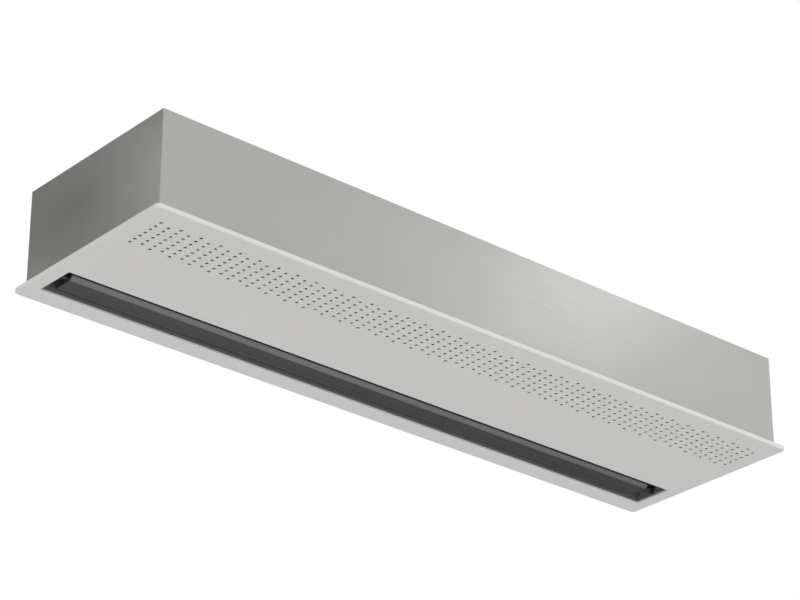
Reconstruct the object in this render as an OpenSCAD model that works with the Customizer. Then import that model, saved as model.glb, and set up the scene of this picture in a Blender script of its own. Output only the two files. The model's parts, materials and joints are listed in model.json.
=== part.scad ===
// Ceiling-recessed air curtain, millimetres.
// Origin: centre of the fascia's underside. +X along the length, +Y from the intake side
// to the discharge slot, +Z up into the ceiling.

/* [Fascia] */
// Length of the fascia panel
fascia_l = 1500; // [1400:10:1700]
// Width of the fascia panel
fascia_w = 414; // [400:1:460]
// Thickness of the fascia sheet
fascia_t = 1.5; // [1:0.1:2]
// Height of the folded edge that meets the ceiling
lip_h = 8; // [6:0.5:15]
// Radius of the fascia's corners in plan
fascia_corner_r = 9; // [4:0.5:14]
// Overhang of the fascia beyond the casing's long sides
overhang_w = 16; // [12:0.5:20]
// Overhang of the fascia beyond the casing's ends
overhang_l = 15; // [12:0.5:16]

/* [Discharge slot] */
// Width of the discharge slot
slot_w = 87; // [82:1:95]
// Distance from the slot to the fascia's far edge
slot_far_margin = 39.5; // [38:0.5:46]
// Distance from the slot to the fascia's ends
slot_end_margin = 28; // [28:0.5:60]
// Height of the fold round the slot
slot_return_h = 5; // [3:0.5:6]

/* [Intake holes] */
// Diameter of an intake hole
hole_d = 6.5; // [4:0.1:9]
// Distance between columns of holes, along the fascia
hole_pitch_x = 20.6; // [12:0.1:30]
// Distance between the holes of one column
hole_pitch_y = 14.4; // [11:0.1:20]
// Width of the field of holes
hole_field_w = 93.5; // [60:0.5:110]
// Distance from the field of holes to the fascia's near edge
hole_near_margin = 40.5; // [38:0.5:60]
// Distance from the field of holes to the fascia's ends
hole_end_margin = 35.5; // [30:0.5:80]

/* [Casing] */
// Thickness of the casing sheet
sheet_t = 1.2; // [0.8:0.1:1.5]
// Thickness of the foam gasket between fascia and casing
gasket_t = 2; // [1:0.1:3]
// Width of the casing's inward flange on the long sides
side_flange_w = 16; // [14:0.5:17]
// Width of the casing's inward flange at the ends
end_flange_w = 9; // [6:0.5:9]
// Height of the folds along the top plate's long edges
top_fold_h = 15; // [8:1:20]
// Distance from a hanging hole to the casing's end
hanging_inset_x = 45; // [40:1:120]
// Distance from a hanging hole to the casing's side
hanging_inset_y = 41; // [30:1:60]
// Diameter of a hanging hole
hanging_hole_d = 9; // [8.5:0.5:11]

/* [Nozzle and vane] */
// Height of the discharge nozzle
nozzle_h = 41; // [36:1:60]
// Chord of the discharge vane
vane_chord = 48.5; // [44:0.5:52]
// Thickness of the vane at its nose
vane_nose_t = 16; // [15.5:0.5:18]
// Radius of the upper part of the vane's nose
vane_nose_r = 5; // [3:0.5:7]
// Radius of the vane's lower front, which runs into its flat underside
vane_front_r = 14; // [12:0.5:18]
// Thickness of the vane at its tail
vane_tail_t = 3; // [2.5:0.5:5]
// Wall of the vane's hollow extrusion
vane_wall = 1.4; // [1:0.1:1.6]
// Height of the vane's flat underside above the fascia's underside
vane_recess = 8.3; // [7:0.1:11]
// Gap between the vane's tail and the slot's far edge
vane_tail_gap = 9.5; // [7:0.5:14]
// Gap between the vane and the nozzle's ends
vane_end_gap = 25.5; // [15:0.5:30]
// Diameter of the vane's pivot pins
pivot_d = 8; // [6:0.5:8]

/* [Fans] */
// Outer radius of an impeller
impeller_r = 52; // [46:1:56]
// Length of an impeller
impeller_l = 160; // [140:1:180]
// Number of blades on each side of an impeller
blade_count = 30; // [20:1:36]
// Depth of a blade between its inner and outer radius
blade_depth = 10; // [8:0.5:12]
// Thickness of a blade
blade_t = 1; // [0.8:0.1:1.5]
// Gap between the impeller and the scroll's tongue
tongue_gap = 6; // [5:0.5:10]
// Growth of the scroll's radius from tongue to outlet
scroll_growth = 30; // [26:1:34]
// Gap between an impeller and the scroll's side plates
scroll_side_gap = 7; // [6:0.5:12]
// Thickness of the scroll's sheet
scroll_t = 1; // [0.8:0.1:1.2]
// Gap between the scroll and the casing's top
scroll_headroom = 3.6; // [2:0.1:20]
// Outer radius of a motor's rotor
rotor_r = 34; // [30:0.5:36]
// Length of a motor's rotor
rotor_l = 64; // [50:1:68]

/* [Controls] */
// Length of the control box
box_l = 150; // [130:1:180]
// Width of the control box
box_w = 110; // [100:1:120]
// Height of the control box
box_h = 46; // [42:1:70]
// Outer width of the cable duct
duct_w = 25; // [20:1:30]
// Outer height of the cable duct
duct_h = 20; // [16:1:30]
// Diameter of a motor lead
lead_d = 6; // [5:0.5:8]
// Inner diameter of a cable grommet
grommet_bore_d = 12; // [8:0.5:14]

/* [Hidden] */

// Overrun of every cut past the face it opens
cut = 1;
// Gap between pieces that seat on each other without pressing
seat_gap = 0.3;
// Radial gap of a pin or shaft that turns in its bore
running_gap = 0.05;
// Radial gap round a piece that is pushed into a hole
fit_gap = 0.1;
// Sides of a true circle
round_fn = 48;
small_fn = 24;
// Straight pieces that make up a quarter turn of a fold or corner
corner_steps = 8;

// Number of fans, which are named one by one below
fan_count = 4;

// Casing
casing_l = fascia_l - 2 * overhang_l;
casing_w = fascia_w - 2 * overhang_w;
casing_z = fascia_t + gasket_t;
inner_l = casing_l - 2 * sheet_t;
inner_w = casing_w - 2 * sheet_t;
hanging_pitch_x = casing_l - 2 * hanging_inset_x;
hanging_pitch_y = casing_w - 2 * hanging_inset_y;

// Slot, nozzle and deck
slot_l = fascia_l - 2 * slot_end_margin;
slot_far_y = fascia_w / 2 - slot_far_margin;
slot_near_y = slot_far_y - slot_w;
nozzle_z = slot_return_h + seat_gap;
deck_z = nozzle_z + nozzle_h;
deck_top = deck_z + sheet_t;
deck_fold_h = 14;
far_wall_flange = 12;
outlet_inset = 13.5;

// Intake holes
hole_columns = floor((fascia_l - 2 * hole_end_margin - hole_d) / hole_pitch_x) + 1;
hole_rows = floor((hole_field_w - hole_d) / hole_pitch_y) + 1;
hole_field_y = -fascia_w / 2 + hole_near_margin + hole_field_w / 2;

// Scroll: the radius grows evenly from the tongue, round over the top, to the outlet
tongue_a = 60;
scroll_turn = 360 - tongue_a;
scroll_steps = 30;
tongue_r = impeller_r + tongue_gap;
outlet_r = tongue_r + scroll_growth;
function scroll_r(turn) = tongue_r + scroll_growth * turn / scroll_turn;
scroll_foot = 2.7;
fan_y = slot_far_y - outlet_inset - outlet_r;
fan_z = deck_top + scroll_foot + scroll_t + scroll_r(90 - tongue_a);
casing_top = fan_z + scroll_r(270 - tongue_a) + scroll_t + scroll_headroom + sheet_t;
inner_top = casing_top - sheet_t;
fan_pitch = casing_l / fan_count;
scroll_l = impeller_l + 2 * scroll_side_gap + 2 * scroll_t;
outlet_flange_w = 10;
outlet_flange_t = 1.2;
tongue_y = fan_y + tongue_r * cos(tongue_a);
tongue_out_a = acos((tongue_r * cos(tongue_a) - scroll_t) / (tongue_r + scroll_t));

// Inlet rings
inlet_overlap = 1.5;
inlet_r = impeller_r - blade_depth - inlet_overlap;
inlet_lip = 4;
inlet_ring_t = 1;
inlet_flare_r = 5;

// Impeller
disc_t = 2;
end_ring_t = 2;
disc_bore_r = 1.5;
blade_inset = 0.5;
blade_lead_angle = 9;
blade_steps = 3;

// Motor
rotor_wall = 3;
rotor_boss_r = 12;
rotor_boss_l = 16;
shaft_r = 6;
stator_gap = 1.5;
stator_base_r = 27;
stator_rim = 1;
spider_t = 2.5;
spider_stand = inlet_ring_t + seat_gap;
spider_hub_r = 22;
spider_arm_w = 11;
spider_arm_count = 3;
spider_foot_l = 8;

// Hanging plates
hanger_l = 60;
hanger_w = 40;
hanger_t = 3;

// Fascia studs and their spring clips
stud_base_r = 5.5;
stud_base_h = 1.6;
stud_neck_r = 2.5;
stud_head_r = 3.5;
stud_h = 13;
stud_x_shares = [-0.46, -0.16, 0.16, 0.46];
stud_y = inner_w / 2 - side_flange_w / 2;
stud_hole_r = stud_head_r + 1;
clip_t = 0.8;
clip_l = 26;
clip_w = 11;
clip_leg_h = 12;
clip_barb = 1.5;

// Vane
vane_z = vane_recess + vane_nose_t / 2;
front_steps = 10;
vane_tail_y = slot_far_y - vane_tail_gap;
vane_nose_y = vane_tail_y - vane_chord;
pivot_inset = 15;
vane_y = vane_nose_y + pivot_inset;
vane_cap_t = 2;
vane_l = slot_l - 2 * vane_end_gap - 2 * vane_cap_t;
pivot_r = pivot_d / 2;
pivot_shoulder_r = pivot_r + 1.5;
bush_wall = 2;
bush_r = pivot_r + running_gap + bush_wall;
bush_flange_r = bush_r + 2;
bush_flange_t = 1.5;
bush_l = 2;
lock_nut_r = pivot_r + 3;
lock_nut_t = 3.5;
pivot_tail = 1;

// Controls
box_t = 1;
box_gap = 6;
box_near_gap = 6;
box_x = hanging_pitch_x / 2 - hanger_l / 2 - box_gap - box_l / 2;
box_y = -inner_w / 2 + box_near_gap + box_w / 2;
box_z = inner_top - box_h;
lid_fold_h = 8;
board_margin = 10;
board_t = 1.6;
board_post_h = 6;
board_post_r = 3;
board_post_inset = 5;
board_z = inner_top - board_post_h - board_t;
heat_sink_l = 70;
heat_sink_w = 10;
heat_sink_h = 14;
heat_sink_gap = 2;
capacitor_r = 9;
capacitor_l = 24;
capacitor_gap = 4;
terminal_count = 8;
terminal_pitch = 9;
terminal_w = 16;
terminal_h = 14;
terminal_wall = 1.5;
grommet_flange_r = 12;
grommet_flange_t = 2;
grommet_body_r = 9;
grommet_pitch = 40;
duct_t = 1.2;
duct_x0 = -casing_l / 2 + fan_pitch / 2;
duct_y = box_y + box_w / 2 + duct_w / 2;
lead_stand = 12;

// X of a fan's middle, fans counted from 1
function fan_x(number) = (number - (fan_count + 1) / 2) * fan_pitch;

// Points on an arc
function arc_points(x, y, r, a0, a1, steps) =
  [for (i = [0 : steps]) let (a = a0 + (a1 - a0) * i / steps) [x + r * cos(a), y + r * sin(a)]];

// Outline of a rectangle with rounded corners, centred
function round_rect_points(l, w, r) = concat(
  arc_points(l / 2 - r, w / 2 - r, r, 0, 90, corner_steps),
  arc_points(r - l / 2, w / 2 - r, r, 90, 180, corner_steps),
  arc_points(r - l / 2, r - w / 2, r, 180, 270, corner_steps),
  arc_points(l / 2 - r, r - w / 2, r, 270, 360, corner_steps));

// Extrudes a drawing in the Y-Z plane along X
module along_x(x0, length) {
  translate([x0, 0, 0]) rotate([90, 0, 90]) linear_extrude(height = length) children();
}

// A cylinder along X
module rod_x(x0, length, r, fn) {
  along_x(x0, length) circle(r = r, $fn = fn);
}

// A mirrored pair about the middle plane X = 0
module both_ends() {
  children();
  mirror([1, 0, 0]) children();
}

// A square frame drawn in the X-Y plane
module frame_2d(l, w, wall) {
  difference() {
    square([l, w], center = true);
    square([l - 2 * wall, w - 2 * wall], center = true);
  }
}

// Places children at every fascia stud
module at_studs() {
  for (share = stud_x_shares, side = [-1, 1])
    translate([share * casing_l, side * stud_y, 0]) children();
}

// Places children at every hanging hole
module at_hanging_holes() {
  for (sx = [-1, 1], sy = [-1, 1])
    translate([sx * hanging_pitch_x / 2, sy * hanging_pitch_y / 2, 0]) children();
}

// Places children at each cable grommet
module at_grommets() {
  for (s = [-1, 1])
    translate([box_x + s * grommet_pitch / 2, box_y, 0]) children();
}

// Casing

// Top sheet between the side panels, its long edges folded down against them
module top_plate() color("gainsboro") {
  difference() {
    union() {
      translate([-casing_l / 2, -inner_w / 2, inner_top]) cube([casing_l, inner_w, sheet_t]);
      for (s = [0, 1])
        mirror([0, s, 0])
          translate([-inner_l / 2, inner_w / 2 - sheet_t, inner_top - top_fold_h])
            cube([inner_l, sheet_t, top_fold_h]);
    }
    at_hanging_holes()
      translate([0, 0, inner_top - cut])
        cylinder(d = hanging_hole_d, h = sheet_t + 2 * cut, $fn = small_fn);
    at_grommets()
      translate([0, 0, inner_top - cut])
        cylinder(r = grommet_body_r + fit_gap, h = sheet_t + 2 * cut, $fn = small_fn);
  }
}

// Side panel for the discharge side, with its inward flange along the bottom
module side_panel() {
  flange_y = inner_w / 2 - side_flange_w;
  difference() {
    along_x(-casing_l / 2, casing_l)
      polygon([
        [flange_y, casing_z],
        [casing_w / 2, casing_z],
        [casing_w / 2, casing_top],
        [inner_w / 2, casing_top],
        [inner_w / 2, casing_z + sheet_t],
        [flange_y, casing_z + sheet_t]
      ]);
    at_studs()
      translate([0, 0, casing_z - cut])
        cylinder(r = stud_hole_r, h = sheet_t + 2 * cut, $fn = small_fn);
  }
}

module intake_side_panel() color("gainsboro") mirror([0, 1, 0]) side_panel();

module discharge_side_panel() color("gainsboro") side_panel();

module end_plate_left() color("darkgray") mirror([1, 0, 0]) end_plate_solid();

module end_plate_right() color("darkgray") end_plate_solid();

// Flat end plate for the right end: a flange folded inward along the bottom, and notches
// that clear the side panels' bottom flanges
module end_plate_solid() {
  notch = side_flange_w + seat_gap;
  flange_y = inner_w - 2 * notch;
  difference() {
    translate([inner_l / 2, -inner_w / 2, casing_z])
      cube([sheet_t, inner_w, inner_top - casing_z]);
    for (s = [0, 1])
      mirror([0, s, 0])
        translate([inner_l / 2 - cut, inner_w / 2 - notch, casing_z - cut])
          cube([sheet_t + 2 * cut, notch + cut, sheet_t + seat_gap + cut]);
  }
  translate([inner_l / 2 - end_flange_w, -flange_y / 2, casing_z])
    cube([end_flange_w, flange_y, sheet_t]);
}

// Stiffening plates under the top sheet at the hanging holes
module hanger_plates() color("silver") {
  difference() {
    at_hanging_holes()
      translate([-hanger_l / 2, -hanger_w / 2, inner_top - hanger_t])
        cube([hanger_l, hanger_w, hanger_t]);
    at_hanging_holes()
      translate([0, 0, inner_top - hanger_t - cut])
        cylinder(d = hanging_hole_d, h = hanger_t + 2 * cut, $fn = small_fn);
  }
}

// Rubber grommets where the supply and control cables enter the control box
module cable_grommets() color("dimgray") {
  at_grommets()
    translate([0, 0, inner_top - grommet_flange_t])
      rotate_extrude($fn = small_fn)
        difference() {
          square([grommet_flange_r, sheet_t + 2 * grommet_flange_t]);
          translate([-cut, -cut])
            square([grommet_bore_d / 2 + cut, sheet_t + 2 * grommet_flange_t + 2 * cut]);
          translate([grommet_body_r, grommet_flange_t])
            square([grommet_flange_r, sheet_t]);
        }
}

// Fascia

module fascia_outline(inset) {
  polygon(round_rect_points(fascia_l - 2 * inset, fascia_w - 2 * inset, fascia_corner_r - inset));
}

module slot_outline(grow) {
  translate([-slot_l / 2 - grow, slot_near_y - grow])
    square([slot_l + 2 * grow, slot_w + 2 * grow]);
}

// Staggered field of intake holes: every second column is shifted by half a pitch
module intake_holes_2d() {
  for (column = [0 : hole_columns - 1]) {
    rows = hole_rows - column % 2;
    for (row = [0 : rows - 1])
      translate([
        (column - (hole_columns - 1) / 2) * hole_pitch_x,
        hole_field_y + (row - (rows - 1) / 2) * hole_pitch_y
      ])
        circle(d = hole_d, $fn = small_fn);
  }
}

// One folded tray: perforated face, edge lip and the fold round the slot
module fascia_panel() color("whitesmoke") {
  linear_extrude(height = fascia_t)
    difference() {
      fascia_outline(0);
      slot_outline(0);
      intake_holes_2d();
    }
  translate([0, 0, fascia_t])
    linear_extrude(height = lip_h - fascia_t)
      difference() {
        fascia_outline(0);
        fascia_outline(fascia_t);
      }
  translate([0, 0, fascia_t])
    linear_extrude(height = slot_return_h - fascia_t)
      difference() {
        slot_outline(fascia_t);
        slot_outline(0);
      }
}

// Foam strip round the fascia's back, under the casing's flanges
module fascia_gasket() color("dimgray") {
  translate([0, 0, fascia_t])
    linear_extrude(height = gasket_t)
      difference() {
        square([casing_l, casing_w], center = true);
        square([inner_l - 2 * end_flange_w, inner_w - 2 * side_flange_w], center = true);
        at_studs() circle(r = stud_base_r + cut, $fn = small_fn);
      }
}

// Ball studs on the fascia's back that snap into the casing's spring clips
module fascia_studs() color("silver") {
  at_studs()
    translate([0, 0, fascia_t]) {
      cylinder(r = stud_base_r, h = stud_base_h, $fn = small_fn);
      cylinder(r = stud_neck_r, h = stud_h, $fn = small_fn);
      translate([0, 0, stud_h]) sphere(r = stud_head_r, $fn = small_fn);
    }
}

// Spring clips on the casing's flanges: a base and two sprung legs beside the stud's ball
module stud_clips() color("lightsteelblue") {
  leg_y = stud_head_r + seat_gap;
  at_studs()
    translate([0, 0, casing_z + sheet_t]) {
      difference() {
        translate([-clip_l / 2, -clip_w / 2, 0]) cube([clip_l, clip_w, clip_t]);
        translate([0, 0, -cut]) cylinder(r = stud_hole_r, h = clip_t + 2 * cut, $fn = small_fn);
      }
      for (s = [0, 1])
        mirror([0, s, 0])
          along_x(-clip_w / 2, clip_w)
            polygon([
              [leg_y + clip_t, clip_t],
              [leg_y + 2 * clip_t, clip_t],
              [leg_y + clip_t, clip_leg_h - clip_barb],
              [leg_y + clip_t + clip_barb, clip_leg_h],
              [leg_y + clip_barb, clip_leg_h],
              [leg_y, clip_leg_h - clip_barb]
            ]);
    }
}

// Nozzle

// Near wall of the nozzle and the deck that carries the fans, in one folded sheet
module nozzle_channel() color("dimgray") {
  near_y = slot_near_y - sheet_t;
  difference() {
    union() {
      translate([-inner_l / 2, near_y, deck_z])
        cube([inner_l, inner_w / 2 - near_y, sheet_t]);
      translate([-slot_l / 2 - sheet_t, near_y, nozzle_z])
        cube([slot_l + 2 * sheet_t, sheet_t, nozzle_h]);
      translate([-inner_l / 2, inner_w / 2 - sheet_t, deck_top])
        cube([inner_l, sheet_t, deck_fold_h]);
    }
    for (number = [1 : fan_count])
      translate([fan_x(number) - scroll_l / 2 + scroll_t, tongue_y, deck_z - cut])
        cube([scroll_l - 2 * scroll_t, fan_y + outlet_r - tongue_y, sheet_t + 2 * cut]);
  }
}

// Far wall of the nozzle, hung from the deck by its folded flange
module nozzle_far_wall() color("dimgray") {
  translate([-slot_l / 2 - sheet_t, slot_far_y, 0])
    along_x(0, slot_l + 2 * sheet_t)
      polygon([
        [0, nozzle_z],
        [sheet_t, nozzle_z],
        [sheet_t, deck_z - sheet_t],
        [sheet_t + far_wall_flange, deck_z - sheet_t],
        [sheet_t + far_wall_flange, deck_z],
        [0, deck_z]
      ]);
}

// End of the nozzle with the hole for the vane's bush, drawn for the right end
module nozzle_end() {
  difference() {
    translate([slot_l / 2, slot_near_y, nozzle_z]) cube([sheet_t, slot_w, nozzle_h]);
    translate([0, vane_y, vane_z])
      rod_x(slot_l / 2 - cut, sheet_t + 2 * cut, bush_r + fit_gap, small_fn);
  }
}

module nozzle_end_left() color("dimgray") mirror([1, 0, 0]) nozzle_end();

module nozzle_end_right() color("dimgray") nozzle_end();

// Discharge vane

// Outline of the vane: flat underside, a full lower front that runs into the smaller nose,
// and a straight back down to a thin tail. The inset draws the hollow inside the wall.
module vane_outline(inset) {
  nose_y = vane_nose_y + vane_nose_r;
  nose_z = vane_recess + vane_nose_t - vane_nose_r;
  front_z = vane_recess + vane_front_r;
  front_y = nose_y + sqrt(pow(vane_front_r - vane_nose_r, 2) - pow(front_z - nose_z, 2));
  meet_a = 180 + atan2(front_z - nose_z, front_y - nose_y);
  front_step_a = (270 - meet_a) / front_steps;
  tail_r = vane_tail_t / 2;
  tail_y = vane_tail_y - tail_r;
  tail_z = vane_recess + tail_r;
  run = norm([tail_y - nose_y, tail_z - nose_z]);
  back_a = atan2(tail_z - nose_z, tail_y - nose_y) + acos((vane_nose_r - tail_r) / run);
  back_reach = nose_y * cos(back_a) + nose_z * sin(back_a) + vane_nose_r - inset;
  hollow_end = tail_y - vane_chord / 4;
  hollow_top = (back_reach - hollow_end * cos(back_a)) / sin(back_a);
  polygon(concat(
    arc_points(nose_y, nose_z, vane_nose_r - inset, back_a, meet_a, corner_steps),
    arc_points(front_y, front_z, vane_front_r - inset, meet_a + front_step_a, 270,
               front_steps - 1),
    inset > 0
      ? [[hollow_end, vane_recess + inset], [hollow_end, hollow_top]]
      : arc_points(tail_y, tail_z, tail_r, -90, back_a, corner_steps)
  ));
}

module discharge_vane() color("darkslategray") {
  along_x(-vane_l / 2, vane_l)
    difference() {
      vane_outline(0);
      vane_outline(vane_wall);
    }
}

module vane_end_caps() color("black") {
  both_ends()
    along_x(vane_l / 2, vane_cap_t)
      vane_outline(0);
}

// Pivot pins with the shoulder that keeps the vane off the bush
module vane_pins() color("silver") {
  cap_x = vane_l / 2 + vane_cap_t;
  shoulder_end = slot_l / 2 - bush_flange_t - seat_gap;
  pin_end = slot_l / 2 + bush_l + seat_gap + lock_nut_t + pivot_tail;
  translate([0, vane_y, vane_z])
    both_ends() {
      rod_x(cap_x, shoulder_end - cap_x, pivot_shoulder_r, small_fn);
      rod_x(cap_x, pin_end - cap_x, pivot_r, small_fn);
    }
}

// Lock nuts that hold the vane at its angle by friction
module vane_lock_nuts() color("gray") {
  translate([0, vane_y, vane_z])
    both_ends()
      along_x(slot_l / 2 + bush_l + seat_gap, lock_nut_t)
        difference() {
          circle(r = lock_nut_r, $fn = 6);
          circle(r = pivot_r + running_gap, $fn = small_fn);
        }
}

// Flanged plastic bushes in the nozzle's ends
module vane_bushes() color("ivory") {
  translate([0, vane_y, vane_z])
    both_ends()
      difference() {
        union() {
          rod_x(slot_l / 2 - bush_flange_t, bush_flange_t, bush_flange_r, small_fn);
          rod_x(slot_l / 2 - bush_flange_t, bush_flange_t + bush_l, bush_r, small_fn);
        }
        rod_x(slot_l / 2 - bush_flange_t - cut, bush_flange_t + bush_l + 2 * cut,
              pivot_r + running_gap, small_fn);
      }
}

// Fans

// Points along the scroll, from the tongue to the outlet's outer wall
function spiral_points(turn0, grow) =
  [for (i = [0 : scroll_steps])
    let (turn = turn0 + (scroll_turn - turn0) * i / scroll_steps,
         a = -tongue_a - turn,
         r = scroll_r(turn) + grow)
      [fan_y + r * cos(a), fan_z + r * sin(a)]];

// Outside of the scroll with its outlet down to the deck
module scroll_outline() {
  polygon(concat(
    spiral_points(tongue_out_a - tongue_a, scroll_t),
    [[fan_y + outlet_r + scroll_t, deck_top], [tongue_y - scroll_t, deck_top]]
  ));
}

// Air space inside the scroll, carried on below the deck's top
module scroll_cavity() {
  polygon(concat(
    spiral_points(0, 0),
    [[fan_y + outlet_r, deck_top - cut], [tongue_y, deck_top - cut]]
  ));
}

// Spiral wrap with two side plates, open at the inlets and down into the deck's outlet,
// on the flange that seats it on the deck
module scroll_housing(number) color("lightgray") {
  flange_l = scroll_l + 2 * outlet_flange_w;
  flange_y = tongue_y - scroll_t - outlet_flange_w;
  flange_end_y = fan_y + outlet_r + scroll_t + outlet_flange_w;
  translate([fan_x(number), 0, 0])
    difference() {
      union() {
        along_x(-scroll_l / 2, scroll_l) scroll_outline();
        translate([-flange_l / 2, flange_y, deck_top])
          cube([flange_l, flange_end_y - flange_y, outlet_flange_t]);
      }
      along_x(scroll_t - scroll_l / 2, scroll_l - 2 * scroll_t) scroll_cavity();
      translate([0, fan_y, fan_z])
        rod_x(-scroll_l / 2 - cut, scroll_l + 2 * cut, inlet_r + inlet_ring_t + fit_gap, round_fn);
    }
}

// Flared inlet rings in both side plates
module inlet_rings(number) color("silver") {
  tube_l = inlet_lip + scroll_t;
  translate([fan_x(number), fan_y, fan_z])
    both_ends()
      translate([scroll_l / 2 - tube_l, 0, 0])
        rotate([0, 90, 0])
          rotate_extrude($fn = round_fn) {
            translate([inlet_r, 0]) square([inlet_ring_t, tube_l]);
            translate([inlet_r, tube_l]) square([inlet_ring_t + inlet_flare_r, inlet_ring_t]);
          }
}

// One forward-curved blade as a drawing: its lead angle grows with the square of its depth
module blade_2d() {
  root_r = impeller_r - blade_depth + blade_inset;
  half_a = blade_t / impeller_r * 90 / PI;
  points = [for (i = [0 : blade_steps])
    let (share = i / blade_steps)
      [root_r + (blade_depth - 2 * blade_inset) * share, blade_lead_angle * share * share]];
  polygon(concat(
    [for (p = points) [p[0] * cos(p[1] + half_a), p[0] * sin(p[1] + half_a)]],
    [for (i = [blade_steps : -1 : 0])
      let (p = points[i])
        [p[0] * cos(p[1] - half_a), p[0] * sin(p[1] - half_a)]]
  ));
}

// Double-inlet impeller: centre disc, two rows of blades and an end ring on each
module impeller(number) color("steelblue") {
  blade_l = impeller_l / 2 - disc_t / 2 - end_ring_t;
  translate([fan_x(number), fan_y, fan_z]) {
    along_x(-disc_t / 2, disc_t)
      difference() {
        circle(r = impeller_r, $fn = round_fn);
        circle(r = disc_bore_r, $fn = small_fn);
      }
    for (x0 = [disc_t / 2, -disc_t / 2 - blade_l])
      along_x(x0, blade_l)
        for (i = [0 : blade_count - 1])
          rotate(360 * i / blade_count) mirror([0, 1]) blade_2d();
    for (x0 = [impeller_l / 2 - end_ring_t, -impeller_l / 2])
      along_x(x0, end_ring_t)
        difference() {
          circle(r = impeller_r, $fn = round_fn);
          circle(r = impeller_r - blade_depth, $fn = round_fn);
        }
  }
}

// External rotor: a can closed at the impeller's disc, with a boss bored for the shaft
module motor_rotor(number) color("slategray") {
  translate([fan_x(number) + disc_t / 2, fan_y, fan_z])
    difference() {
      union() {
        difference() {
          rod_x(0, rotor_l, rotor_r, round_fn);
          rod_x(rotor_wall, rotor_l, rotor_r - rotor_wall, round_fn);
        }
        rod_x(0, rotor_boss_l, rotor_boss_r, small_fn);
      }
      rod_x(-cut, rotor_boss_l + 2 * cut, shaft_r + running_gap, small_fn);
    }
}

// Stator: base on the spider, wound core inside the rotor, and the shaft
module motor_stator(number) color("dimgray") {
  base_x = disc_t / 2 + rotor_l + stator_gap;
  core_x = disc_t / 2 + rotor_boss_l + stator_gap;
  seat_x = scroll_l / 2 + spider_stand;
  translate([fan_x(number), fan_y, fan_z]) {
    rod_x(base_x, seat_x - base_x, stator_base_r + stator_rim, round_fn);
    rod_x(core_x, seat_x - core_x, stator_base_r, round_fn);
    rod_x(disc_t / 2 + stator_gap, core_x, shaft_r, small_fn);
  }
}

// Three-armed motor bracket across the inlet, its feet flat on the side plate
module motor_spider(number) color("silver") {
  leg_r = inlet_r + inlet_ring_t + inlet_flare_r + seat_gap;
  translate([fan_x(number) + scroll_l / 2, fan_y, fan_z]) {
    along_x(spider_stand, spider_t) {
      circle(r = spider_hub_r, $fn = round_fn);
      spider_arms(0, leg_r + spider_t);
    }
    along_x(0, spider_stand + spider_t) spider_arms(leg_r, spider_t);
    along_x(0, spider_t) spider_arms(leg_r, spider_foot_l);
  }
}

// A strip along each arm of the spider, as a drawing
module spider_arms(start_r, length) {
  for (i = [0 : spider_arm_count - 1])
    rotate(90 + 360 * i / spider_arm_count)
      translate([start_r, -spider_arm_w / 2]) square([length, spider_arm_w]);
}

// Controls

// Four walls of the control box, closed above by the casing's top
module control_box() color("lightgray") {
  translate([box_x, box_y, box_z])
    linear_extrude(height = box_h) frame_2d(box_l, box_w, box_t);
}

// Lid under the control box, its rim folded up inside the walls
module control_box_lid() color("silver") {
  translate([box_x, box_y, box_z - box_t]) {
    linear_extrude(height = box_t) square([box_l, box_w], center = true);
    translate([0, 0, box_t])
      linear_extrude(height = lid_fold_h)
        frame_2d(box_l - 2 * box_t - 2 * seat_gap, box_w - 2 * box_t - 2 * seat_gap, box_t);
  }
}

// Circuit board on four posts under the top sheet, with its heat sink
module circuit_board() color("seagreen") {
  board_l = box_l - 2 * board_margin;
  board_w = box_w - 2 * board_margin;
  translate([box_x, box_y, board_z]) {
    difference() {
      translate([-board_l / 2, -board_w / 2, 0]) cube([board_l, board_w, board_t]);
      for (s = [-1, 1])
        translate([s * grommet_pitch / 2, 0, -cut])
          cylinder(r = grommet_flange_r + cut, h = board_t + 2 * cut, $fn = small_fn);
    }
    for (sx = [-1, 1], sy = [-1, 1])
      translate([sx * (board_l / 2 - board_post_inset), sy * (board_w / 2 - board_post_inset),
                 board_t])
        cylinder(r = board_post_r, h = board_post_h, $fn = small_fn);
    translate([-heat_sink_l / 2, 2 * capacitor_r + heat_sink_gap - board_w / 2, -heat_sink_h])
      cube([heat_sink_l, heat_sink_w, heat_sink_h]);
  }
}

// Run capacitors of the motors, lying under the board
module capacitors() color("lightblue") {
  row_l = fan_count * 2 * capacitor_r + (fan_count - 1) * capacitor_gap;
  for (i = [0 : fan_count - 1])
    translate([box_x - row_l / 2 + capacitor_r + i * (2 * capacitor_r + capacitor_gap),
               box_y - box_w / 2 + board_margin + capacitor_r, board_z - capacitor_l])
      cylinder(r = capacitor_r, h = capacitor_l, $fn = small_fn);
}

// Terminal block under the board, with a screw well for each wire
module terminal_block() color("ivory") {
  length = terminal_count * terminal_pitch + terminal_wall;
  translate([box_x - length / 2, box_y + box_w / 2 - board_margin - terminal_w,
             board_z - terminal_h])
    difference() {
      cube([length, terminal_w, terminal_h]);
      for (i = [0 : terminal_count - 1])
        translate([terminal_wall + i * terminal_pitch, terminal_wall, -cut])
          cube([terminal_pitch - terminal_wall, terminal_w / 2, terminal_h / 2 + cut]);
    }
}

// U-shaped cable duct under the top sheet, beside the control box
module cable_duct() color("whitesmoke") {
  along_x(duct_x0, box_x - duct_x0)
    translate([duct_y - duct_w / 2, inner_top - duct_h])
      difference() {
        square([duct_w, duct_h]);
        translate([duct_t, duct_t]) square([duct_w - 2 * duct_t, duct_h]);
      }
}

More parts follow.
